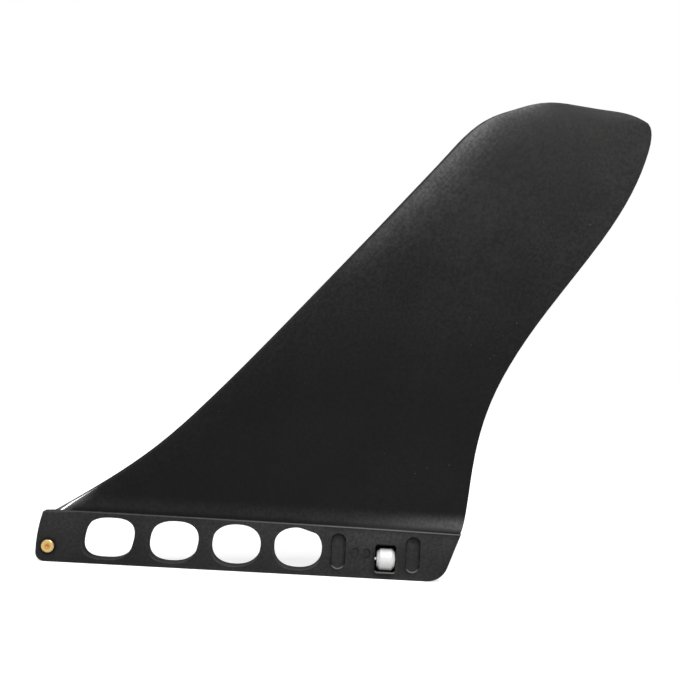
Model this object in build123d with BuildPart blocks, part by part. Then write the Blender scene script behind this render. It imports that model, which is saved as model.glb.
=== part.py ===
"""Surfboard centre fin: a swept foil blade on a drop-in tongue with a cross pin and a roller.

Frame, in millimetres: the origin is the middle of the tongue's top, on the mid-plane, where the
fin meets the board. +X points to the trailing edge, +Y across the thickness, +Z to the tip.
"""
import math
import os

from build123d import *

os.makedirs("parts", exist_ok=True)

# Overall sizes
blade_height = 223.0
tongue_length = 214.6
tongue_depth = 26.3
tongue_thickness = 9.4

# Tongue ends and edges. Its top is a shallow arc, like the bottom of a board, with a ramp in front.
# The front edge is an arc, through a point at these shares of its lean and of the tongue's depth.
front_lean = 2.7
front_arc_lean = 0.63
front_arc_drop = 0.31
front_corner = 4.7
front_ramp = 19.0
front_dip = 0.9
top_rise = 0.3
top_fall = 1.3
rear_lean = 8.8
rear_corner = 11.0
edge_break = 0.4

# Blade
root_ledge = 0.2
root_sunk = 2.0
nose_setback = 2.4
tip_thickness = 3.2
trailing_thickness = 1.0
flare_height = 11.0
flare_power = 2.2
taper_power = 1.5
tip_rounding = 10.0
chord_fan = 0.65

# Openings that lighten the tongue, with the material left over and under them. A slope towards
# the tail cuts their tops off where its reach from their middles is short enough.
opening_lengths = (26.1, 25.5, 25.3, 24.7)
opening_roof = 2.3
opening_floor = 2.7
opening_places = (-73.1, -39.8, -7.7, 24.1)
opening_leans = (1.6, 1.2, 0.6, 0)
opening_squareness = (2.7, 2.45, 2.3, 2.35)
opening_slope = 17
opening_slope_reaches = (13, 13, 13, 10.4)
opening_points = 24

# Upright recesses on both faces, with the height of tongue left over and under them
recess_width = 7.6
recess_depth = 1.0
recess_draft = 30
recess_roof = 3.85
recess_floor = 3.95
recess_places = (44.8, 83.1)

# Round moulding marks on both faces
mark_diameter = 4.4
mark_depth = 0.3
mark_places = (53.4, 59.2)

# Roller, its axle and its window. The rise is its axis's height over the tongue's bottom.
roller_place = 69.45
roller_rise = 9.7
roller_stand = 1.0
roller_length = 9.5
roller_band = 5.9
roller_end_diameter = 8.0
axle_diameter = 2.0
running_clearance = 0.05
socket_depth = 3.0
window_top_gap = 2.0
window_bottom_gap = 0.4
window_front_gap = 1.0
window_rear_gap = 0.3
window_corner = 1.6
window_bevel = 0.6
lip_thickness = 1.2
lip_gap = 0.25

# Cross pin. Its rise is also over the tongue's bottom.
pin_diameter = 6.6
pin_waist_diameter = 6.2
pin_stand = 1.9
pin_break = 0.5
pin_setback = 6.3
pin_rise = 8.1

half_length = tongue_length / 2
half_thickness = tongue_thickness / 2
root_half = half_thickness - edge_break - root_ledge
opening_height = tongue_depth - opening_roof - opening_floor
opening_drop = opening_roof + opening_height / 2
recess_length = tongue_depth - recess_roof - recess_floor
recess_drop = recess_roof + recess_length / 2
roller_drop = tongue_depth - roller_rise
pin_drop = tongue_depth - pin_rise


def on_outline(along, up):
    """A point of the blade's outline, from shares of the tongue's length and the blade's height."""
    return (along * tongue_length, up * blade_height)


# Leading edge, from inside the tongue over the top of the tip to its rear corner
with BuildLine(Plane.XZ) as leading_edge:
    Spline(
        (nose_setback - half_length, -root_sunk),
        on_outline(-0.375, 0.0615),
        on_outline(-0.233, 0.165),
        on_outline(-0.128, 0.264),
        on_outline(0.123, 0.534),
        on_outline(0.365, 0.804),
        on_outline(0.459, 0.9095),
        on_outline(0.491, 0.940),
        on_outline(0.524, 0.9595),
        on_outline(0.584, 0.982),
        on_outline(0.657, 1.000),
        on_outline(0.740, 0.994),
        on_outline(0.858, 0.980),
        on_outline(0.887, 0.970),
        on_outline(0.896, 0.964),
    )

# Trailing edge, from inside the tongue to the same corner
with BuildLine(Plane.XZ) as trailing_edge:
    Spline(
        (half_length - root_ledge - rear_lean * root_sunk / tongue_depth, -root_sunk),
        on_outline(0.5045, 0.013),
        on_outline(0.511, 0.0485),
        on_outline(0.519, 0.130),
        on_outline(0.544, 0.264),
        on_outline(0.630, 0.4445),
        on_outline(0.757, 0.624),
        on_outline(0.869, 0.804),
        on_outline(0.901, 0.8935),
        on_outline(0.907, 0.9345),
        on_outline(0.905, 0.949),
        on_outline(0.902, 0.956),
    )

# Half a foil section is one curve from the nose to the trailing edge. Its control points lie at
# these shares of the chord and of the section's half thickness.
foil_along = (0, 0, 0.06, 0.30, 0.65, 1)
foil_out = (0, 0.58, 0.82, 1.60, 0.775)


def half_section(nose, tail, sweep):
    """Control points of half a section, flared out to the root's full width near the board."""
    chord = (tail - nose).length
    plain = tip_thickness + (2 * root_half - tip_thickness) * (1 - sweep**taper_power)
    thickness = trailing_thickness + (plain - trailing_thickness) * chord / (chord + tip_rounding)
    points = []
    for index, along in enumerate(foil_along):
        height = nose.Z + along * (tail.Z - nose.Z)
        flare = max(0, 1 - max(0, height) / flare_height) ** flare_power
        if index == 0:
            out = 0
        elif index == len(foil_out):
            out = trailing_thickness / 2
        else:
            out = foil_out[index] * thickness / 2
        if index > 0:
            out += (root_half - out) * flare
        points.append((along * chord, out))
    return points


# Sections along the blade. Their chords fan out at the tip, so the rounded nose of the foil
# follows the outline over the top.
sweeps = (
    0, 0.01, 0.02, 0.032, 0.046, 0.065, 0.09, 0.13, 0.19, 0.26, 0.34, 0.42, 0.50,
    0.58, 0.65, 0.71, 0.755, 0.79, 0.82, 0.855, 0.89, 0.92, 0.95, 0.975, 1,
)
with BuildPart() as blade:
    for sweep in sweeps:
        nose = leading_edge.edge() @ sweep
        tail = trailing_edge.edge() @ (sweep * (1 + chord_fan * sweep * (1 - sweep)))
        chord_direction = (tail - nose).normalized()
        section_normal = chord_direction.cross(Vector(0, 1, 0))
        right_side = half_section(nose, tail, sweep)
        left_side = [(along, -out) for along, out in reversed(right_side)]
        with BuildSketch(Plane(origin=nose, x_dir=chord_direction, z_dir=section_normal)):
            with BuildLine():
                Bezier(*right_side)
                Line(right_side[-1], left_side[0])
                Bezier(*left_side)
            make_face()
    loft()


def opening_outline(place, length, lean, squareness, slope_reach):
    """A rounded opening about its place: a superellipse whose top leans towards the tail."""
    slope_angle = math.radians(opening_slope)
    slope_normal = Vector(math.sin(slope_angle), math.cos(slope_angle))
    points = []
    for step in range(opening_points):
        angle = 2 * math.pi * step / opening_points
        along = math.copysign(abs(math.cos(angle)) ** (2 / squareness), math.cos(angle))
        up = math.copysign(abs(math.sin(angle)) ** (2 / squareness), math.sin(angle))
        point = Vector(along * length / 2 + up * lean, up * opening_height / 2)
        point -= slope_normal * max(0, point.dot(slope_normal) - slope_reach)
        points.append(point + Vector(place, -opening_drop))
    return points


# Tongue with its openings
with BuildPart() as tongue:
    with BuildSketch(Plane.XZ) as tongue_outline:
        with BuildLine():
            Polyline(
                (-half_length - front_lean, -tongue_depth),
                (half_length - rear_lean, -tongue_depth),
                (half_length, -top_fall),
            )
            ThreePointArc((half_length, -top_fall), (0, 0), (front_ramp - half_length, top_rise))
            Line((front_ramp - half_length, top_rise), (-half_length, -front_dip))
            ThreePointArc(
                (-half_length, -front_dip),
                (-half_length - front_arc_lean * front_lean, -front_arc_drop * tongue_depth),
                (-half_length - front_lean, -tongue_depth),
            )
        make_face()
        fillet(tongue_outline.vertices().group_by(Axis.Y)[0].sort_by(Axis.X)[0], front_corner)
        fillet(tongue_outline.vertices().group_by(Axis.Y)[0].sort_by(Axis.X)[-1], rear_corner)
    extrude(amount=half_thickness, both=True)
    openings = zip(
        opening_places, opening_lengths, opening_leans, opening_squareness, opening_slope_reaches
    )
    for opening in openings:
        with BuildSketch(Plane.XZ):
            with BuildLine():
                Spline(*opening_outline(*opening), periodic=True)
            make_face()
        extrude(amount=tongue_thickness, both=True, mode=Mode.SUBTRACT)
    chamfer(tongue.faces().filter_by(Plane.XZ).edges(), edge_break)

roller_radius = half_thickness + roller_stand
roller_end_radius = roller_end_diameter / 2
window_height = 2 * roller_radius + window_top_gap + window_bottom_gap
window_drop = roller_drop + (window_bottom_gap - window_top_gap) / 2
window_length = roller_length + window_front_gap + window_rear_gap
window_place = roller_place + (window_rear_gap - window_front_gap) / 2
lip_inside = half_thickness - lip_thickness
axle_length = window_length + 2 * socket_depth
pin_place = -half_length - front_lean + pin_setback
roller_middle = (roller_place, 0, -roller_drop)
roller_axis = Axis(roller_middle, (1, 0, 0))
roller_plane = Plane(origin=roller_middle, x_dir=(1, 0, 0), z_dir=(0, -1, 0))


def roller_outline(inner_radius, growth):
    """Half the roller's section, coned at both ends, with its outside grown all round."""
    end_along = roller_length / 2 + growth
    return [
        (-end_along, inner_radius),
        (-end_along, roller_end_radius + growth),
        (-roller_band / 2, roller_radius + growth),
        (roller_band / 2, roller_radius + growth),
        (end_along, roller_end_radius + growth),
        (end_along, inner_radius),
    ]


# Body: blade and tongue with everything that is cut from them
with BuildPart() as fin_body:
    add(tongue.part)
    add(blade.part)

    for face_side in (-1, 1):
        outward = Plane(origin=(0, face_side * half_thickness, 0), x_dir=(1, 0, 0), z_dir=(0, -1, 0))
        with BuildSketch(outward):
            with Locations(*[(place, -recess_drop) for place in recess_places]):
                SlotOverall(recess_length, recess_width, rotation=90)
        extrude(amount=face_side * recess_depth, taper=recess_draft, mode=Mode.SUBTRACT)
        with BuildSketch(outward):
            with Locations(*[(place, -recess_drop) for place in mark_places]):
                Circle(mark_diameter / 2)
        extrude(amount=face_side * mark_depth, mode=Mode.SUBTRACT)

    with BuildSketch(Plane.XZ.offset(-lip_inside)):
        with Locations((window_place, -window_drop)):
            RectangleRounded(window_length, window_height, window_corner)
    extrude(amount=tongue_thickness, mode=Mode.SUBTRACT)
    for depth, height in ((-window_bevel, window_height), (0, window_height + 2 * window_bevel)):
        with BuildSketch(Plane.XZ.offset(half_thickness + depth)):
            with Locations((window_place, -window_drop)):
                RectangleRounded(window_length, height, window_corner)
    loft(mode=Mode.SUBTRACT)
    with BuildSketch(roller_plane):
        Polygon(*roller_outline(0, lip_gap), align=None)
    revolve(axis=roller_axis, mode=Mode.SUBTRACT)

    with Locations((window_place, 0, -roller_drop)):
        Cylinder(axle_diameter / 2, axle_length, rotation=(0, 90, 0), mode=Mode.SUBTRACT)
    with Locations((pin_place, 0, -pin_drop)):
        Cylinder(
            pin_waist_diameter / 2, 2 * tongue_thickness, rotation=(90, 0, 0), mode=Mode.SUBTRACT
        )
fin_body.part.label = "fin_body"
export_step(fin_body.part, "parts/fin_body.step")

# Roller: a barrel with coned ends, bored to run on the axle
with BuildPart() as roller:
    with BuildSketch(roller_plane):
        Polygon(*roller_outline(axle_diameter / 2 + running_clearance, 0), align=None)
    revolve(axis=roller_axis)
roller.part.label = "roller"
export_step(roller.part, "parts/roller.step")

# Axle: a straight pin in sockets in the window's end walls
with BuildPart() as roller_axle:
    with Locations((window_place, 0, -roller_drop)):
        Cylinder(axle_diameter / 2, axle_length, rotation=(0, 90, 0))
roller_axle.part.label = "roller_axle"
export_step(roller_axle.part, "parts/roller_axle.step")

# Cross pin: plain ends that stand out of both faces, with a waist that is moulded into the body
with BuildPart() as cross_pin:
    for face_side in (-1, 1):
        with Locations((pin_place, face_side * (half_thickness + pin_stand / 2), -pin_drop)):
            Cylinder(pin_diameter / 2, pin_stand, rotation=(90, 0, 0))
    outer_rims = cross_pin.edges().filter_by(GeomType.CIRCLE).sort_by(Axis.Y)
    chamfer([outer_rims[0], outer_rims[-1]], pin_break)
    with Locations((pin_place, 0, -pin_drop)):
        Cylinder(pin_waist_diameter / 2, tongue_thickness, rotation=(90, 0, 0))
cross_pin.part.label = "cross_pin"
export_step(cross_pin.part, "parts/cross_pin.step")
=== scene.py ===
"""Surfboard centre fin: finishes, turned pieces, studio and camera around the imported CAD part.

All sizes are metres in the CAD part's own frame: +X to the trailing edge, +Y across, +Z to the tip.
"""
import math
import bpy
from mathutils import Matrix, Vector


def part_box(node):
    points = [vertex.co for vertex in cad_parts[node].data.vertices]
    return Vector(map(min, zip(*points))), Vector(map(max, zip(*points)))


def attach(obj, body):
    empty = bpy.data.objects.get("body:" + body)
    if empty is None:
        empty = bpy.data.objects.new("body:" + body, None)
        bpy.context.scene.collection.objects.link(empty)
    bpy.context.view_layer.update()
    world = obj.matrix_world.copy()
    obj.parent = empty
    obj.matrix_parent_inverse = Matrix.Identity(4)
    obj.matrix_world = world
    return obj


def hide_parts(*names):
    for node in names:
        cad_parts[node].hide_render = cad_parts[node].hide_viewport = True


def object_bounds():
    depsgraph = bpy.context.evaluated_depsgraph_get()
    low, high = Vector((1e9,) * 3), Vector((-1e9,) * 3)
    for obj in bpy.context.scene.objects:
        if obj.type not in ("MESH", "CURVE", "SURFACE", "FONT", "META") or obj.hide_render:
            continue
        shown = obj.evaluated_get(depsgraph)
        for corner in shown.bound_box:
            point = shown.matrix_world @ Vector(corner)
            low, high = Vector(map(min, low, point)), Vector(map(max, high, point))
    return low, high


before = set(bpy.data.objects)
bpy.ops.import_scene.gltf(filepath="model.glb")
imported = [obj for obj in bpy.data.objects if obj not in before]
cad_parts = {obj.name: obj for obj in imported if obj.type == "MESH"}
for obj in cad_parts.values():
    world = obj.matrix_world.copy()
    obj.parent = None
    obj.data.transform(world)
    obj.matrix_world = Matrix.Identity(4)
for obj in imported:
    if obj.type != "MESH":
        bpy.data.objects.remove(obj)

from types import SimpleNamespace

import bmesh
import bpy
from bpy.props import FloatProperty, FloatVectorProperty, PointerProperty
from mathutils import Matrix, Vector

bl_info = {
    "name": "Surfboard centre fin",
    "version": (1, 0, 0),
    "blender": (4, 5, 0),
    "location": "3D View > Sidebar > Fin",
    "description": "Finishes, turned pieces and studio for a drop-in surfboard centre fin",
    "category": "Object",
}

cad_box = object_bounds()
body_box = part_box("fin_body")
pin_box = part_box("cross_pin")
roller_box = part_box("roller")
pin_centre = (pin_box[0] + pin_box[1]) / 2
roller_centre = (roller_box[0] + roller_box[1]) / 2


# Settings

class FinBodySettings(bpy.types.PropertyGroup):
    blade_colour: FloatVectorProperty(
        name="Blade colour", description="Colour of the smooth moulded blade",
        subtype="COLOR", size=3, min=0, max=1, default=(0.0018, 0.0018, 0.0018),
    )
    # Painted light: the blade is coloured lighter towards its tip.
    painted_tip_light_colour: FloatVectorProperty(
        name="Tip light colour", description="Colour that the blade fades to at its tip",
        subtype="COLOR", size=3, min=0, max=1, default=(0.0096, 0.0096, 0.0094),
    )
    # Painted highlight: a paler strip along the leading edge.
    leading_edge_highlight_colour: FloatVectorProperty(
        name="Leading edge highlight colour", description="Colour of the painted highlight strip along the leading edge",
        subtype="COLOR", size=3, min=0, max=1, default=(0.041, 0.041, 0.041),
    )
    # Painted highlight: a paler patch low in the root flare near the trailing edge.
    flare_highlight_colour: FloatVectorProperty(
        name="Flare highlight colour", description="Colour of the painted highlight low in the flare near the trailing edge",
        subtype="COLOR", size=3, min=0, max=1, default=(0.0295, 0.0295, 0.0295),
    )
    tongue_colour: FloatVectorProperty(
        name="Tongue colour", description="Colour of the duller tongue under the blade",
        subtype="COLOR", size=3, min=0, max=1, default=(0.0160, 0.0158, 0.0161),
    )
    # Real wear on rubbed edges, and the painted highlight along the tongue's top.
    wear_and_seam_highlight_colour: FloatVectorProperty(
        name="Wear and seam highlight colour", description="Colour where edges are rubbed, and of the painted seam highlight",
        subtype="COLOR", size=3, min=0, max=1, default=(0.085, 0.085, 0.085),
    )
    dust_colour: FloatVectorProperty(
        name="Dust colour", description="Colour of the small specks on the moulding",
        subtype="COLOR", size=3, min=0, max=1, default=(0.12, 0.118, 0.115),
    )
    # Painted light: a paler colour on the tongue's bevels that face up.
    ledge_light_colour: FloatVectorProperty(
        name="Ledge light colour", description="Colour of the painted light on bevels that face up",
        subtype="COLOR", size=3, min=0, max=1, default=(0.105, 0.105, 0.102),
    )
    grain_size: FloatProperty(
        name="Grain size", description="Size of the mould's spark grain",
        subtype="DISTANCE", unit="LENGTH", precision=5, min=0.00005, max=0.002, default=0.00045,
    )
    grain_depth: FloatProperty(
        name="Grain depth", description="Depth of the mould's spark grain",
        subtype="DISTANCE", unit="LENGTH", precision=6, min=0, max=0.0005, default=0.000012,
    )
    # Reach of the painted shade in the corners of the recesses and the window.
    painted_shade_reach: FloatProperty(
        name="Cavity reach", description="How far from a corner the painted shade reaches",
        subtype="DISTANCE", unit="LENGTH", precision=5, min=0.0001, max=0.01, default=0.0035,
    )
    # Width of the painted highlight along the tongue's top.
    seam_highlight_width: FloatProperty(
        name="Seam width", description="Width of the painted highlight line along the top of the tongue",
        subtype="DISTANCE", unit="LENGTH", precision=5, min=0, max=0.003, default=0.0006,
    )
    wear_width: FloatProperty(
        name="Wear width", description="Width of the rubbed strip along edges",
        subtype="DISTANCE", unit="LENGTH", precision=5, min=0.0001, max=0.003, default=0.0004,
    )


class CrossPinSettings(bpy.types.PropertyGroup):
    brass_colour: FloatVectorProperty(
        name="Brass colour", description="Colour of the clean brass",
        subtype="COLOR", size=3, min=0, max=1, default=(0.54, 0.375, 0.15),
    )
    tarnish_colour: FloatVectorProperty(
        name="Tarnish colour", description="Colour of the duller brass near the middle",
        subtype="COLOR", size=3, min=0, max=1, default=(0.34, 0.16, 0.04),
    )
    edge_width: FloatProperty(
        name="Edge width", description="Width of the turned chamfer round each end",
        subtype="DISTANCE", unit="LENGTH", precision=5, min=0.0001, max=0.002, default=0.0005,
    )
    waist_radius: FloatProperty(
        name="Waist radius", description="Radius of the narrower middle that the body grips",
        subtype="DISTANCE", unit="LENGTH", precision=5, min=0.001, max=0.0032, default=0.0031,
    )
    pit_radius: FloatProperty(
        name="Pit radius", description="Radius of the turning mark in the middle of each end",
        subtype="DISTANCE", unit="LENGTH", precision=5, min=0.0001, max=0.002, default=0.0008,
    )


class RollerSettings(bpy.types.PropertyGroup):
    roller_colour: FloatVectorProperty(
        name="Roller colour", description="Colour of the moulded roller",
        subtype="COLOR", size=3, min=0, max=1, default=(0.70, 0.70, 0.69),
    )
    grime_colour: FloatVectorProperty(
        name="Grime colour", description="Colour of the dirt in the roller's rings",
        subtype="COLOR", size=3, min=0, max=1, default=(0.50, 0.50, 0.48),
    )
    steel_colour: FloatVectorProperty(
        name="Axle colour", description="Colour of the steel axle",
        subtype="COLOR", size=3, min=0, max=1, default=(0.60, 0.60, 0.61),
    )
    band_width: FloatProperty(
        name="Band width", description="Width of the roller's straight band",
        subtype="DISTANCE", unit="LENGTH", precision=5, min=0.001, max=0.009, default=0.0059,
    )
    end_radius: FloatProperty(
        name="End radius", description="Radius of the roller at its ends",
        subtype="DISTANCE", unit="LENGTH", precision=5, min=0.001, max=0.0055, default=0.0040,
    )
    edge_radius: FloatProperty(
        name="Edge radius", description="Rounding of the roller's edges",
        subtype="DISTANCE", unit="LENGTH", precision=5, min=0.0001, max=0.001, default=0.0005,
    )
    bore_radius: FloatProperty(
        name="Bore radius", description="Radius of the hole that runs on the axle",
        subtype="DISTANCE", unit="LENGTH", precision=5, min=0.0005, max=0.003, default=0.00105,
    )
    ring_depth: FloatProperty(
        name="Ring depth", description="Depth of the fine rings round the roller",
        subtype="DISTANCE", unit="LENGTH", precision=6, min=0, max=0.0003, default=0.00004,
    )


class StageSettings(bpy.types.PropertyGroup):
    floor_colour: FloatVectorProperty(
        name="Floor colour", description="Colour of the floor",
        subtype="COLOR", size=3, min=0, max=1, default=(0.58, 0.58, 0.58),
    )
    floor_radius: FloatProperty(
        name="Floor radius", description="Radius of the round floor",
        subtype="DISTANCE", unit="LENGTH", min=1, max=20, default=6,
    )
    camera_place: FloatVectorProperty(
        name="Camera place", description="Where the camera stands",
        subtype="TRANSLATION", unit="LENGTH", size=3, default=(0.0400, -0.7300, 0.0949),
    )
    camera_roll: FloatProperty(
        name="Camera roll", description="Turn of the camera about its view",
        subtype="ANGLE", unit="ROTATION", default=math.radians(3.06),
    )
    camera_lens: FloatProperty(
        name="Camera lens", description="Focal length in millimetres for a 36 mm wide sensor",
        min=20, max=200, default=75.0,
    )
    key_level: FloatProperty(
        name="Key level", description="Brightness of the lamp above and to the right",
        min=0, max=60, default=14.0,
    )
    edge_level: FloatProperty(
        name="Edge level", description="Brightness of the small lamp that lights the leading edge",
        min=0, max=200, default=33.0,
    )
    right_level: FloatProperty(
        name="Right level", description="Brightness of the soft lamp in front on the right",
        min=0, max=60, default=8.0,
    )
    front_level: FloatProperty(
        name="Front level", description="Brightness of the soft lamp high in front",
        min=0, max=60, default=14.0,
    )
    back_level: FloatProperty(
        name="Back level", description="Brightness of the soft lamp behind",
        min=0, max=60, default=1.6,
    )
    room_level: FloatProperty(
        name="Room level", description="Light from the white room all round",
        min=0, max=1, default=0.12,
    )


class FinSettings(bpy.types.PropertyGroup):
    body: PointerProperty(type=FinBodySettings, name="Body", description="Moulded body")
    pin: PointerProperty(type=CrossPinSettings, name="Cross pin", description="Brass cross pin")
    roller: PointerProperty(type=RollerSettings, name="Roller", description="Roller and its axle")
    stage: PointerProperty(type=StageSettings, name="Stage", description="Floor, lamps and camera")


# Node helpers. A value is a socket to link, or a number or colour to set. A range is a pair.

node_spacing = (220, 260)


def feed(tree, entry, value):
    if isinstance(value, bpy.types.NodeSocket):
        tree.links.new(value, entry)
    elif hasattr(value, "__len__") and entry.type == "RGBA":
        entry.default_value = (*value, 1)
    else:
        entry.default_value = value


def add(tree, kind, entries=(), **properties):
    """Adds a node, sets its properties and feeds its entries by name or number."""
    node = tree.nodes.new(kind)
    for name, value in properties.items():
        setattr(node, name, value)
    for name, value in dict(entries).items():
        feed(tree, node.inputs[name], value)
    return node


def maths(tree, operation, first, second=0.0, clamp=False):
    node = add(tree, "ShaderNodeMath", {0: first, 1: second}, operation=operation, use_clamp=clamp)
    return node.outputs[0]


def product(tree, first, *others):
    for other in others:
        first = maths(tree, "MULTIPLY", first, other)
    return first


def vector_maths(tree, operation, first, second=(0, 0, 0), result="Vector"):
    node = add(tree, "ShaderNodeVectorMath", {0: first, 1: second}, operation=operation)
    return node.outputs[result]


def noise(tree, vector, scale, detail=2.0, roughness=0.5):
    entries = {"Vector": vector, "Scale": scale, "Detail": detail, "Roughness": roughness}
    return add(tree, "ShaderNodeTexNoise", entries).outputs["Fac"]


def levels(tree, value, span, result=(0.0, 1.0)):
    """The value's range over the span, spread smoothly over the result's and held inside it."""
    entries = {
        "Value": value,
        "From Min": span[0],
        "From Max": span[1],
        "To Min": result[0],
        "To Max": result[1],
    }
    return add(tree, "ShaderNodeMapRange", entries, interpolation_type="SMOOTHSTEP").outputs["Result"]


def spread(tree, share, result):
    """A share from 0 to 1, spread smoothly over the result's range."""
    return levels(tree, share, (0.0, 1.0), result)


def mix_colour(tree, share, first, second, blend="MIX"):
    entries = {0: share, 6: first, 7: second}
    return add(tree, "ShaderNodeMix", entries, data_type="RGBA", blend_type=blend).outputs[2]


def bump(tree, shader, height, depth):
    """Raises the shader's surface by the pattern of the height, to this depth."""
    node = add(tree, "ShaderNodeBump", {"Height": height, "Distance": depth, "Strength": 1.0})
    feed(tree, shader.inputs["Normal"], node.outputs["Normal"])


def arrange(tree):
    """Lays the nodes out in columns, each node to the left of all that it feeds."""
    columns = {node.name: 0 for node in tree.nodes}
    links = [(link.from_node.name, link.to_node.name) for link in tree.links]
    for _ in columns:
        for giver, taker in links:
            columns[giver] = max(columns[giver], columns[taker] + 1)
    filled = dict.fromkeys(columns.values(), 0)
    for node in tree.nodes:
        column = columns[node.name]
        node.location = (-node_spacing[0] * column, -node_spacing[1] * filled[column])
        filled[column] += 1


def new_group(name, entries, results):
    """An empty shader node group with entries (name, kind, default) and results (name, kind)."""
    group = bpy.data.node_groups.new(name, "ShaderNodeTree")
    for title, kind, default in entries:
        socket = group.interface.new_socket(name=title, in_out="INPUT", socket_type=kind)
        if default is not None:
            socket.default_value = default
    for title, kind in results:
        group.interface.new_socket(name=title, in_out="OUTPUT", socket_type=kind)
    inside = add(group, "NodeGroupInput").outputs
    outside = add(group, "NodeGroupOutput").inputs
    return group, inside, outside


def use_group(tree, group, **entries):
    """Places a group in a tree. An entry such as grain_size feeds the group's Grain size."""
    node = add(tree, "ShaderNodeGroup", node_tree=group)
    for name, value in entries.items():
        feed(tree, node.inputs[name.replace("_", " ").capitalize()], value)
    return node.outputs


def new_material(name):
    """A material with a Principled shader, its tree, and a surface point's place in its object."""
    material = bpy.data.materials.new(name)
    material.use_nodes = True
    tree = material.node_tree
    tree.nodes.clear()
    shader = add(tree, "ShaderNodeBsdfPrincipled")
    result = add(tree, "ShaderNodeOutputMaterial")
    tree.links.new(shader.outputs["BSDF"], result.inputs["Surface"])
    place = add(tree, "ShaderNodeTexCoord").outputs["Object"]
    return material, tree, shader, place


# Effects kept as node groups

def mould_grain_group():
    """Spark grain of a steel mould, with the slow cloudiness that flow leaves in the plastic."""
    if "Mould grain" in bpy.data.node_groups:
        return bpy.data.node_groups["Mould grain"]
    group, inside, outside = new_group(
        "Mould grain",
        [("Place", "NodeSocketVector", None), ("Grain size", "NodeSocketFloat", 0.0004)],
        [("Height", "NodeSocketFloat"), ("Gloss", "NodeSocketFloat"), ("Cloud", "NodeSocketFloat")],
    )
    blotch_scale = 0.28
    cloud_scale = 0.011
    blotch_height = 0.6
    fine_gloss = 0.35
    blotch_gloss = 0.65
    middle_range = (0.3, 0.7)
    place = inside["Place"]
    grain_scale = maths(group, "DIVIDE", 1.0, inside["Grain size"])
    fine = noise(group, place, grain_scale, detail=3.0, roughness=0.6)
    blotch = noise(
        group, place, product(group, grain_scale, blotch_scale), detail=3.0, roughness=0.55
    )
    cloud = noise(group, place, product(group, grain_scale, cloud_scale), detail=3.0, roughness=0.5)
    height = maths(group, "ADD", fine, product(group, blotch, blotch_height))
    gloss = maths(group, "ADD", product(group, fine, fine_gloss), product(group, blotch, blotch_gloss))
    feed(group, outside["Height"], height)
    feed(group, outside["Gloss"], levels(group, gloss, middle_range))
    feed(group, outside["Cloud"], levels(group, cloud, middle_range))
    arrange(group)
    return group


def rubbed_edge_group():
    """Where the surface turns sharply within a width, broken up as handling does."""
    if "Rubbed edges" in bpy.data.node_groups:
        return bpy.data.node_groups["Rubbed edges"]
    group, inside, outside = new_group(
        "Rubbed edges",
        [("Place", "NodeSocketVector", None), ("Width", "NodeSocketFloat", 0.0005)],
        [("Mask", "NodeSocketFloat")],
    )
    sharp_turn = (0.995, 0.90)
    patch_scale = 350.0
    patch_range = (0.38, 0.62)
    softened = add(group, "ShaderNodeBevel", {"Radius": inside["Width"]}, samples=4).outputs["Normal"]
    true_normal = add(group, "ShaderNodeNewGeometry").outputs["Normal"]
    same = vector_maths(group, "DOT_PRODUCT", softened, true_normal, "Value")
    edge = levels(group, same, sharp_turn)
    patches = levels(group, noise(group, inside["Place"], patch_scale, detail=3.0), patch_range)
    feed(group, outside["Mask"], product(group, edge, patches))
    arrange(group)
    return group


def specks_group():
    """Sparse small specks of dust and lint."""
    if "Specks" in bpy.data.node_groups:
        return bpy.data.node_groups["Specks"]
    group, inside, outside = new_group(
        "Specks",
        [
            ("Place", "NodeSocketVector", None),
            ("Spacing", "NodeSocketFloat", 0.004),
            ("Speck size", "NodeSocketFloat", 0.0002),
        ],
        [("Mask", "NodeSocketFloat")],
    )
    share_left_bare = 0.55
    scale = maths(group, "DIVIDE", 1.0, inside["Spacing"])
    cells = add(group, "ShaderNodeTexVoronoi", {"Vector": inside["Place"], "Scale": scale}).outputs
    reach = product(group, cells["Distance"], inside["Spacing"])
    chance = add(group, "ShaderNodeSeparateColor", {0: cells["Color"]}).outputs
    size = product(group, chance["Green"], inside["Speck size"])
    near = maths(group, "LESS_THAN", reach, size)
    picked = maths(group, "GREATER_THAN", chance["Red"], share_left_bare)
    feed(group, outside["Mask"], product(group, near, picked))
    arrange(group)
    return group


# Black nylon of the body. Each short function gives one mask or shade of it.

def body_surface(tree, place):
    """Where a point of the body lies, and how its surface is tilted.

    The seam is a shallow curve through the origin: its bow is for each metre along squared, and its
    fall for each metre along.
    """
    seam_bow = 0.0446
    seam_fall = 0.0073
    seam_blend = (0.0002, -0.0002)
    split = add(tree, "ShaderNodeSeparateXYZ", {0: place}).outputs
    along = split["X"]
    up = split["Z"]
    seam_depth = maths(
        tree, "ADD", product(tree, along, along, seam_bow), product(tree, along, seam_fall)
    )
    seam_height = maths(tree, "ADD", up, seam_depth)
    tongue = levels(tree, seam_height, seam_blend)
    blade = maths(tree, "SUBTRACT", 1.0, tongue)
    normal = add(tree, "ShaderNodeNewGeometry").outputs["True Normal"]
    tilt = add(tree, "ShaderNodeSeparateXYZ", {0: normal}).outputs
    outward = maths(tree, "ABSOLUTE", tilt["Y"])
    to_nose = product(tree, tilt["X"], -1.0)
    return SimpleNamespace(
        place=place, along=along, up=up, seam_height=seam_height, tongue=tongue, blade=blade,
        tilt=tilt, outward=outward, to_nose=to_nose,
    )


def painted_ledge_light(tree, body):
    """Painted light on the tongue's bevels that face up, weaker round the openings."""
    bevel_tilt = (0.17, 0.36)
    past_openings = (0.030, 0.042)
    openings_share = 0.14
    upward = product(tree, body.outward, body.tilt["Z"])
    bevels = product(tree, levels(tree, upward, bevel_tilt), body.tongue)
    return product(tree, bevels, levels(tree, body.along, past_openings, (openings_share, 1.0)))


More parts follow.
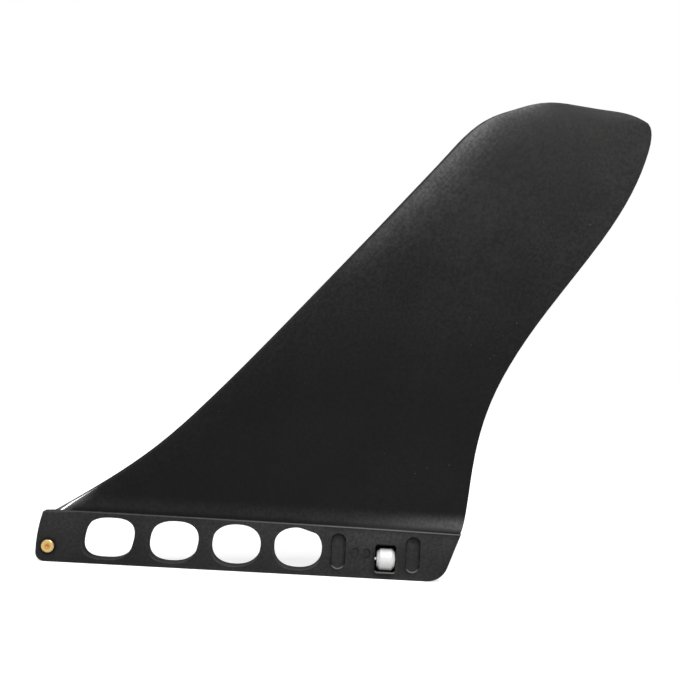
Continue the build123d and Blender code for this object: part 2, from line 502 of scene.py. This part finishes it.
def painted_cavity_shade(tree, body, reach):
    """Painted shade: near 0 in the corners of the recesses and the window that the sky doesn't reach, else
    1.
    """
    sky_along = 0.42
    sky_outward = 0.22
    sky_up = 0.88
    hidden = (0.95, 0.60)
    darkest = 0.03
    before_recesses = (0.042, 0.034)
    side = product(tree, maths(tree, "SIGN", body.tilt["Y"]), sky_outward)
    sky = add(tree, "ShaderNodeCombineXYZ", {"X": sky_along, "Y": side, "Z": sky_up}).outputs[0]
    # Painted shade, darkest where the sky from above and to the right is hidden.
    entries = {"Distance": reach, "Normal": sky}
    open_share = add(tree, "ShaderNodeAmbientOcclusion", entries, samples=8, only_local=True).outputs["AO"]
    shade = levels(tree, open_share, hidden, (1.0, darkest))
    shade = maths(tree, "MAXIMUM", shade, body.blade)
    return maths(tree, "MAXIMUM", shade, levels(tree, body.along, before_recesses))


def painted_nose_highlight(tree, body):
    """A painted highlight beside the leading edge, which fades towards the root."""
    strip_start = (0.0, 0.12)
    strip_end = (0.32, 0.16)
    fade_up = (0.115, 0.205)
    root_share = 0.03
    strip = product(
        tree, levels(tree, body.to_nose, strip_start), levels(tree, body.to_nose, strip_end)
    )
    return product(tree, strip, levels(tree, body.up, fade_up, (root_share, 1.0)))


def root_coat(tree, body):
    """The glossier skin on the leading edge, at its root alone."""
    edge_tilt = (0.08, 0.20)
    root_along = (-0.078, -0.092)
    edge = product(tree, levels(tree, body.to_nose, edge_tilt), body.blade)
    return product(tree, edge, levels(tree, body.along, root_along))


def painted_flare_highlight(tree, body):
    """A painted highlight low in the root flare, stronger towards the trailing edge."""
    highlight_foot = (0.0008, 0.0030)
    highlight_top = (0.0105, 0.0040)
    highlight_along = (0.06, 0.122)
    front_share = 0.18
    flare = product(
        tree, levels(tree, body.seam_height, highlight_foot), levels(tree, body.seam_height, highlight_top)
    )
    return product(tree, flare, levels(tree, body.along, highlight_along, (front_share, 1.0)))


def painted_pin_shadow(tree, body):
    """Painted shadow that darkens the moulding close round the cross pin."""
    shaded_radius = (0.0034, 0.0058)
    darkest = 0.30
    to_pin = vector_maths(tree, "SUBTRACT", body.place, pin_centre)
    across_pin = vector_maths(tree, "MULTIPLY", to_pin, (1, 0, 1))
    from_pin = vector_maths(tree, "LENGTH", across_pin, result="Value")
    return levels(tree, from_pin, shaded_radius, (darkest, 1.0))


def painted_seam_highlight(tree, body, width):
    """A painted highlight along the tongue's top, fainter towards the front."""
    line_along = (-0.10, 0.05)
    line_share = (0.25, 0.75)
    soft_foot = (-1.2 * width, -0.8 * width)
    under_seam = levels(tree, body.seam_height, soft_foot)
    return product(tree, under_seam, body.tongue, levels(tree, body.along, line_along, line_share))


def colours_with_painted_light(tree, body, settings):
    """The moulding's colours, painted lighter at the tip, with painted highlights by the leading edge and
    in the flare.
    """
    tip_fade = (0.06, 0.26)
    # Painted light: the blade lightens towards its tip.
    tip = levels(tree, body.up, tip_fade)
    colour = mix_colour(tree, tip, settings.blade_colour, settings.painted_tip_light_colour)
    # Painted highlight beside the leading edge.
    colour = mix_colour(tree, painted_nose_highlight(tree, body), colour, settings.leading_edge_highlight_colour)
    # Painted highlight low in the root flare.
    colour = mix_colour(tree, painted_flare_highlight(tree, body), colour, settings.flare_highlight_colour)
    return mix_colour(tree, body.tongue, colour, settings.tongue_colour)


def tone_and_painted_light(tree, body, grain, settings):
    """Grain tone, with painted light towards the trailing edge and the tongue's top, and painted shade in
    corners and round the pin.
    """
    cloudiness = (0.82, 1.18)
    mottling = (0.70, 1.30)
    # Painted light: lighter towards the trailing edge.
    painted_light_along = (-0.06, 0.11)
    painted_light_range = (0.92, 1.36)
    # Painted light: the tongue lighter towards its top.
    top_height = (-0.018, -0.002)
    painted_top_light = (1.04, 1.44)
    return product(
        tree,
        spread(tree, grain["Cloud"], cloudiness),
        spread(tree, grain["Gloss"], mottling),
        levels(tree, body.along, painted_light_along, painted_light_range),
        painted_cavity_shade(tree, body, settings.painted_shade_reach),
        painted_pin_shadow(tree, body),
        levels(tree, body.seam_height, top_height, painted_top_light),
    )


def body_roughness(tree, body, gloss):
    """Satin on the blade, duller on the tongue and dullest on the walls of its cuts."""
    blade_range = (0.34, 0.46)
    tongue_range = (0.50, 0.66)
    wall_tilt = (0.35, 0.15)
    wall_roughness = 0.95
    blade = spread(tree, gloss, blade_range)
    tongue = spread(tree, gloss, tongue_range)
    walls = product(tree, levels(tree, body.outward, wall_tilt), body.tongue)
    tongue = spread(tree, walls, (tongue, wall_roughness))
    return add(tree, "ShaderNodeMix", {0: body.tongue, 2: blade, 3: tongue}).outputs[0]


def black_nylon(settings):
    """Moulded black nylon: satin blade, duller tongue, rubbed edges and specks, with painted light and
    shade.
    """
    rubbed_strength = 0.7
    speck_strength = 0.5
    material, tree, shader, place = new_material("black_moulded_nylon")
    body = body_surface(tree, place)
    grain = use_group(tree, mould_grain_group(), place=place, grain_size=settings.grain_size)
    rubbed = use_group(tree, rubbed_edge_group(), place=place, width=settings.wear_width)
    specks = use_group(tree, specks_group(), place=place, spacing=0.006, speck_size=0.0003)

    base_with_painted_light = colours_with_painted_light(tree, body, settings)
    colour = mix_colour(tree, 1.0, base_with_painted_light, tone_and_painted_light(tree, body, grain, settings), "MULTIPLY")
    rubbed_share = product(tree, rubbed["Mask"], rubbed_strength)
    # Real edge wear together with the painted seam highlight.
    edge_wear_and_seam_highlight = maths(tree, "MAXIMUM", rubbed_share, painted_seam_highlight(tree, body, settings.seam_highlight_width))
    colour = mix_colour(tree, edge_wear_and_seam_highlight, colour, settings.wear_and_seam_highlight_colour)
    colour = mix_colour(tree, product(tree, specks["Mask"], speck_strength), colour, settings.dust_colour)
    # Painted light on bevels that face up.
    colour = mix_colour(tree, painted_ledge_light(tree, body), colour, settings.ledge_light_colour)

    feed(tree, shader.inputs["Base Color"], colour)
    feed(tree, shader.inputs["Roughness"], body_roughness(tree, body, grain["Gloss"]))
    shader.inputs["IOR"].default_value = 1.5
    shader.inputs["Specular IOR Level"].default_value = 0.10
    feed(tree, shader.inputs["Coat Weight"], root_coat(tree, body))
    shader.inputs["Coat Roughness"].default_value = 0.14
    shader.inputs["Coat IOR"].default_value = 2.0
    bump(tree, shader, grain["Height"], settings.grain_depth)
    arrange(tree)
    return material


# Finishes of the small pieces

def turned_brass(settings):
    """Brass off a lathe: fine rings on the ends, warmer and duller towards the middle."""
    ring_pitch = 0.00016
    ring_wander = 0.00012
    ring_depth = 0.000004
    tarnished_radius = (0.0024, 0.0006)
    tarnish_share = (0.4, 1.0)
    roughness = (0.24, 0.42)
    material, tree, shader, place = new_material("turned_brass")
    offset = vector_maths(tree, "SUBTRACT", place, pin_centre)
    split = add(tree, "ShaderNodeSeparateXYZ", {0: offset}).outputs
    flat = add(tree, "ShaderNodeCombineXYZ", {"X": split["X"], "Z": split["Z"]}).outputs[0]
    radius = vector_maths(tree, "LENGTH", flat, result="Value")
    grain = use_group(tree, mould_grain_group(), place=place, grain_size=0.0003)
    ring_place = maths(tree, "ADD", radius, product(tree, grain["Height"], ring_wander))
    rings = maths(tree, "SINE", product(tree, ring_place, 2 * math.pi / ring_pitch))
    middle = levels(tree, ring_place, tarnished_radius)
    tarnish = product(tree, middle, spread(tree, grain["Cloud"], tarnish_share))
    colour = mix_colour(tree, tarnish, settings.brass_colour, settings.tarnish_colour)
    feed(tree, shader.inputs["Base Color"], colour)
    feed(tree, shader.inputs["Roughness"], spread(tree, grain["Gloss"], roughness))
    shader.inputs["Metallic"].default_value = 1.0
    bump(tree, shader, rings, ring_depth)
    arrange(tree)
    return material


def white_acetal(settings):
    """White acetal with fine rings round it and a little grime in them."""
    streak_scale = 2600.0
    grimy_streaks = (0.50, 0.72)
    most_grime = 0.35
    roughness = (0.30, 0.42)
    grain_height = 0.3
    streak_depth = 0.000012
    material, tree, shader, place = new_material("white_acetal")
    grain = use_group(tree, mould_grain_group(), place=place, grain_size=0.0002)
    along = add(tree, "ShaderNodeSeparateXYZ", {0: place}).outputs["X"]
    around = add(tree, "ShaderNodeCombineXYZ", {"X": along}).outputs[0]
    streak = noise(tree, around, streak_scale, detail=4.0, roughness=0.6)
    grime = levels(tree, streak, grimy_streaks, (0.0, most_grime))
    colour = mix_colour(tree, grime, settings.roller_colour, settings.grime_colour)
    feed(tree, shader.inputs["Base Color"], colour)
    feed(tree, shader.inputs["Roughness"], spread(tree, grain["Gloss"], roughness))
    height = maths(tree, "ADD", streak, product(tree, grain["Height"], grain_height))
    bump(tree, shader, height, streak_depth)
    arrange(tree)
    return material


def drawn_steel(settings):
    """Bright steel wire with the fine lengthways lines that drawing leaves."""
    lengthways = (0.04, 1.0, 1.0)
    line_scale = 6000.0
    line_range = (0.3, 0.7)
    line_shade = (0.85, 1.0)
    line_depth = 0.000003
    roughness = (0.22, 0.36)
    material, tree, shader, place = new_material("drawn_steel")
    stretched = vector_maths(tree, "MULTIPLY", place, lengthways)
    lines = noise(tree, stretched, line_scale, detail=3.0, roughness=0.6)
    grain = use_group(tree, mould_grain_group(), place=place, grain_size=0.0002)
    shade = levels(tree, lines, line_range, line_shade)
    colour = mix_colour(tree, 1.0, settings.steel_colour, shade, "MULTIPLY")
    feed(tree, shader.inputs["Base Color"], colour)
    feed(tree, shader.inputs["Roughness"], spread(tree, grain["Gloss"], roughness))
    shader.inputs["Metallic"].default_value = 1.0
    bump(tree, shader, lines, line_depth)
    arrange(tree)
    return material


# Mesh helpers and outlines of the turned pieces

def rounded(points, radii, steps=4):
    """The outline's points with each inner corner replaced by a small arc of the given radius."""
    smooth = [Vector(points[0])]
    for before, corner, after, radius in zip(points, points[1:], points[2:], radii):
        corner = Vector(corner)
        if radius == 0:
            smooth.append(corner)
            continue
        inward = (Vector(before) - corner).normalized()
        onward = (Vector(after) - corner).normalized()
        half_angle = inward.angle(onward) / 2
        reach = radius / math.tan(half_angle)
        middle = corner + (inward + onward).normalized() * radius / math.sin(half_angle)
        start = corner + inward * reach - middle
        end = corner + onward * reach - middle
        sweep = start.angle_signed(end)
        for step in range(steps + 1):
            smooth.append(middle + Matrix.Rotation(-sweep * step / steps, 2) @ start)
    smooth.append(Vector(points[-1]))
    return smooth


def turned_mesh(name, outline, centre, axis, segments, closed):
    """A turned piece: an outline of (along, radius) points swept round an axis through centre."""
    along_axis = Vector(axis)
    first = along_axis.orthogonal().normalized()
    second = along_axis.cross(first)
    shape = bmesh.new()
    loops = []
    for along, radius in outline:
        base = Vector(centre) + along_axis * along
        if radius == 0:
            loops.append([shape.verts.new(base)])
            continue
        loops.append([
            shape.verts.new(base + (first * math.cos(turn) + second * math.sin(turn)) * radius)
            for turn in (2 * math.pi * step / segments for step in range(segments))
        ])
    pairs = list(zip(loops, loops[1:]))
    if closed:
        pairs.append((loops[-1], loops[0]))
    for here, there in pairs:
        for step in range(segments):
            after = (step + 1) % segments
            if len(here) == 1:
                shape.faces.new((here[0], there[step], there[after]))
            elif len(there) == 1:
                shape.faces.new((here[step], there[0], here[after]))
            else:
                shape.faces.new((here[step], there[step], there[after], here[after]))
    bmesh.ops.recalc_face_normals(shape, faces=shape.faces)
    for face in shape.faces:
        face.smooth = True
    mesh = bpy.data.meshes.new(name)
    shape.to_mesh(mesh)
    shape.free()
    piece = bpy.data.objects.new(name, mesh)
    bpy.context.scene.collection.objects.link(piece)
    return piece


def cross_pin_outline(settings):
    """Chamfered ends with a turning pit, and the waist between the body's faces."""
    pit_depth = 0.00035
    pit_floor = 0.00030
    end_dish = 0.00004
    corner_radii = (0.0002, 0.0003, 0.00015, 0.0002, 0, 0)
    end = (pin_box[1].y - pin_box[0].y) / 2
    radius = (pin_box[1].x - pin_box[0].x) / 2
    body_face = body_box[1].y
    half = [
        (end - pit_depth, 0),
        (end - pit_floor, settings.pit_radius / 2),
        (end - end_dish, settings.pit_radius),
        (end, radius - settings.edge_width),
        (end - settings.edge_width, radius),
        (body_face, radius),
        (body_face, settings.waist_radius),
        (0, settings.waist_radius),
    ]
    near_side = rounded(half, corner_radii)
    far_side = [Vector((-point.x, point.y)) for point in reversed(near_side[:-1])]
    return near_side + far_side


def roller_outline(settings):
    """A barrel with coned ends, fine rings round its band and a bore with chamfered mouths."""
    ring_places = (-0.0019, -0.0007, 0.0007, 0.0019)
    ring_half_width = 0.00012
    bore_chamfer = 0.0003
    end = (roller_box[1].x - roller_box[0].x) / 2
    radius = (roller_box[1].y - roller_box[0].y) / 2
    band = settings.band_width / 2
    bore = settings.bore_radius
    corners = [(-end, bore + bore_chamfer), (-end, settings.end_radius), (-band, radius)]
    radii = [settings.edge_radius, settings.edge_radius]
    for ring in ring_places:
        corners += [
            (ring - ring_half_width, radius),
            (ring, radius - settings.ring_depth),
            (ring + ring_half_width, radius),
        ]
        radii += [0, 0, 0]
    corners += [(band, radius), (end, settings.end_radius), (end, bore + bore_chamfer)]
    radii += [settings.edge_radius, settings.edge_radius]
    inside = [Vector((end - bore_chamfer, bore)), Vector((bore_chamfer - end, bore))]
    return rounded(corners, radii) + inside


def dress(piece, material):
    """Gives the piece or CAD node its material in its object's own slot."""
    if not piece.data.materials:
        piece.data.materials.append(material)
    for slot in piece.material_slots:
        slot.link = "OBJECT"
        slot.material = material


# Stage

def white_where_seen(tree):
    """1 where the camera, a reflection or a clear piece looks, else 0."""
    path = add(tree, "ShaderNodeLightPath").outputs
    seen = maths(tree, "ADD", path["Is Camera Ray"], path["Is Glossy Ray"])
    return maths(tree, "ADD", seen, path["Is Transmission Ray"], clamp=True)


def pale_floor(settings):
    """Matt floor with a white glow of its own, weaker near the part, where a soft shadow shows."""
    shaded_radius = (0.16, 0.45)
    glow_range = (0.74, 1.0)
    material, tree, shader, place = new_material("pale_floor")
    distance = vector_maths(tree, "LENGTH", place, result="Value")
    glow = spread(tree, levels(tree, distance, shaded_radius), glow_range)
    shader.inputs["Base Color"].default_value = (*settings.floor_colour, 1)
    shader.inputs["Roughness"].default_value = 0.9
    shader.inputs["Specular IOR Level"].default_value = 0.0
    shader.inputs["Emission Color"].default_value = (1, 1, 1, 1)
    feed(tree, shader.inputs["Emission Strength"], product(tree, white_where_seen(tree), glow))
    arrange(tree)
    return material


def make_floor(settings):
    """A round floor just under the part."""
    gap_under_part = 0.0001
    shape = bmesh.new()
    bmesh.ops.create_circle(shape, cap_ends=True, segments=96, radius=settings.floor_radius)
    mesh = bpy.data.meshes.new("floor")
    shape.to_mesh(mesh)
    shape.free()
    floor = bpy.data.objects.new("floor", mesh)
    floor.location = (0, 0, cad_box[0].z - gap_under_part)
    bpy.context.scene.collection.objects.link(floor)
    floor.data.materials.append(pale_floor(settings))


def make_room(settings):
    """A world that looks white, and lights the part softly from all round."""
    world = bpy.data.worlds.new("white_room")
    bpy.context.scene.world = world
    world.use_nodes = True
    tree = world.node_tree
    tree.nodes.clear()
    strength = spread(tree, white_where_seen(tree), (settings.room_level, 1.0))
    backdrop = add(tree, "ShaderNodeBackground", {"Color": (1, 1, 1), "Strength": strength})
    result = add(tree, "ShaderNodeOutputWorld")
    tree.links.new(backdrop.outputs[0], result.inputs[0])
    arrange(tree)


def soft_lamp(name, place, size, level):
    """A square lamp aimed at the part, whose face has this brightness, where 1 is white."""
    middle = (cad_box[0] + cad_box[1]) / 2
    lamp = bpy.data.lights.new(name, "AREA")
    lamp.shape = "SQUARE"
    lamp.size = size
    lamp.energy = level * math.pi * size * size
    light = bpy.data.objects.new(name, lamp)
    light.location = place
    light.rotation_euler = (middle - Vector(place)).to_track_quat("-Z", "Y").to_euler()
    bpy.context.scene.collection.objects.link(light)


def make_camera(settings):
    """A camera square to the part's side, with the photograph's roll."""
    view = bpy.data.cameras.new("photo_camera")
    view.sensor_width = 36.0
    view.lens = settings.camera_lens
    camera = bpy.data.objects.new("photo_camera", view)
    level = Matrix.Rotation(math.pi / 2, 4, "X")
    roll = Matrix.Rotation(-settings.camera_roll, 4, "Y")
    camera.matrix_world = Matrix.Translation(settings.camera_place) @ roll @ level
    bpy.context.scene.collection.objects.link(camera)
    bpy.context.scene.camera = camera


# Operators

class FIN_OT_body_finish(bpy.types.Operator):
    """Finish the moulded body in black nylon"""
    bl_idname = "fin.body_finish"
    bl_label = "Finish the body"

    def execute(self, context):
        dress(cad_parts["fin_body"], black_nylon(context.scene.fin.body))
        return {"FINISHED"}


class FIN_OT_cross_pin(bpy.types.Operator):
    """Turn the brass cross pin with its chamfered, ringed ends"""
    bl_idname = "fin.cross_pin"
    bl_label = "Make the cross pin"

    def execute(self, context):
        settings = context.scene.fin.pin
        outline = cross_pin_outline(settings)
        piece = turned_mesh(
            "turned_cross_pin", outline, pin_centre, axis=(0, 1, 0), segments=96, closed=False
        )
        dress(piece, turned_brass(settings))
        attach(piece, "fin")
        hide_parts("cross_pin")
        return {"FINISHED"}


class FIN_OT_roller(bpy.types.Operator):
    """Turn the white roller with its rounded edges and rings, and finish its axle"""
    bl_idname = "fin.roller"
    bl_label = "Make the roller"

    def execute(self, context):
        settings = context.scene.fin.roller
        outline = roller_outline(settings)
        piece = turned_mesh(
            "turned_roller", outline, roller_centre, axis=(1, 0, 0), segments=128, closed=True
        )
        dress(piece, white_acetal(settings))
        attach(piece, "roller")
        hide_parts("roller")
        dress(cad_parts["roller_axle"], drawn_steel(settings))
        return {"FINISHED"}


class FIN_OT_stage(bpy.types.Operator):
    """Set up the pale floor, white room, soft lamps and camera"""
    bl_idname = "fin.stage"
    bl_label = "Set the stage"

    def execute(self, context):
        settings = context.scene.fin.stage
        make_floor(settings)
        make_room(settings)
        soft_lamp("key_lamp", place=(0.36, -0.36, 1.05), size=0.35, level=settings.key_level)
        soft_lamp("right_lamp", place=(0.42, -0.87, 0.65), size=0.50, level=settings.right_level)
        soft_lamp("front_lamp", place=(-0.12, -0.77, 0.89), size=0.30, level=settings.front_level)
        soft_lamp("edge_lamp", place=(-0.72, -0.55, 0.74), size=0.16, level=settings.edge_level)
        soft_lamp("back_lamp", place=(0.10, 0.80, 0.85), size=0.60, level=settings.back_level)
        make_camera(settings)
        context.scene.view_settings.view_transform = "Standard"
        return {"FINISHED"}


class FIN_PT_sidebar(bpy.types.Panel):
    """Settings and steps for the surfboard centre fin"""
    bl_idname = "FIN_PT_sidebar"
    bl_label = "Surfboard centre fin"
    bl_space_type = "VIEW_3D"
    bl_region_type = "UI"
    bl_category = "Fin"

    def draw(self, context):
        settings = context.scene.fin
        steps = (
            (settings.body, "fin.body_finish"),
            (settings.pin, "fin.cross_pin"),
            (settings.roller, "fin.roller"),
            (settings.stage, "fin.stage"),
        )
        for group, step in steps:
            box = self.layout.box()
            for name in group.__annotations__:
                box.prop(group, name)
            box.operator(step)


classes = (
    FinBodySettings,
    CrossPinSettings,
    RollerSettings,
    StageSettings,
    FinSettings,
    FIN_OT_body_finish,
    FIN_OT_cross_pin,
    FIN_OT_roller,
    FIN_OT_stage,
    FIN_PT_sidebar,
)


def register():
    for item in classes:
        bpy.utils.register_class(item)
    bpy.types.Scene.fin = PointerProperty(type=FinSettings)


def unregister():
    del bpy.types.Scene.fin
    for item in reversed(classes):
        bpy.utils.unregister_class(item)


def main():
    register()
    bpy.ops.fin.body_finish()
    bpy.ops.fin.cross_pin()
    bpy.ops.fin.roller()
    bpy.ops.fin.stage()


if __name__ == "__main__":
    main()
